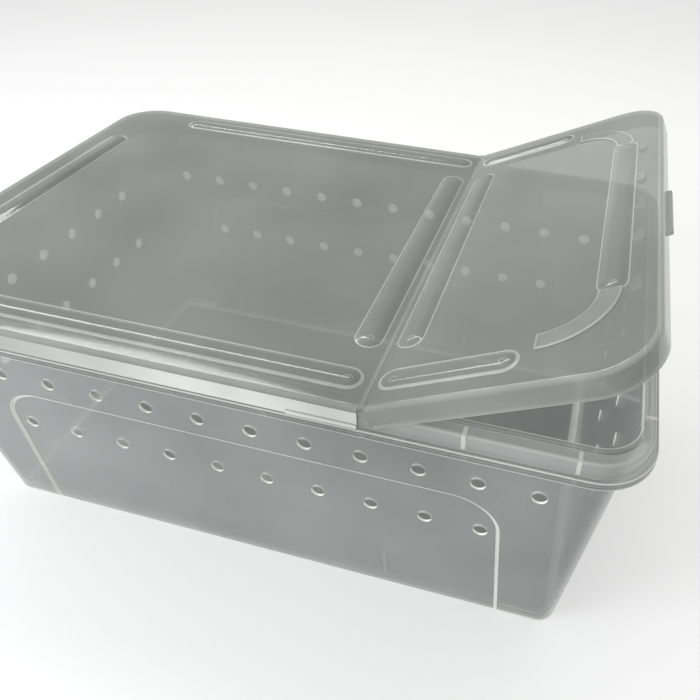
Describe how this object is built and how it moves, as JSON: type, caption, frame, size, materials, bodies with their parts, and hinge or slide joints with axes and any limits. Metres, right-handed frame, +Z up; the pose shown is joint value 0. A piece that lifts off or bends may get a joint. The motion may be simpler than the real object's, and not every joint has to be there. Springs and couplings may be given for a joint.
{
  "type": "ventilated breeding box",
  "caption": "Translucent plastic tub with drafted walls and rows of round vents, under a press-fit lid whose end flap folds up on a living hinge.",
  "frame": {"origin": "middle of the tub's base, on the surface it stands on", "axes": "+X along the box towards the flap, +Y towards its back, +Z up"},
  "size_m": [0.351, 0.231, 0.1936],
  "materials": {
    "tub_plastic": "translucent satin",
    "lid_plastic": "translucent satin"
  },
  "bodies": {
    "tub": {"tub": "tub_plastic"},
    "lid": {"lid_panel": "lid_plastic", "hinge_web": "lid_plastic"},
    "flap": {"lid_flap": "lid_plastic"}
  },
  "joints": [
    {"name": "lid_lift", "type": "slide", "parent": "tub", "child": "lid", "axis": [0, 0, 1], "range_m": [0, 0.15]},
    {"name": "flap_hinge", "type": "hinge", "parent": "lid", "child": "flap", "pos_m": [0.0655, 0, 0.1463], "axis": [0, -1, 0], "range_deg": [-25.6, 124.4]}
  ]
}
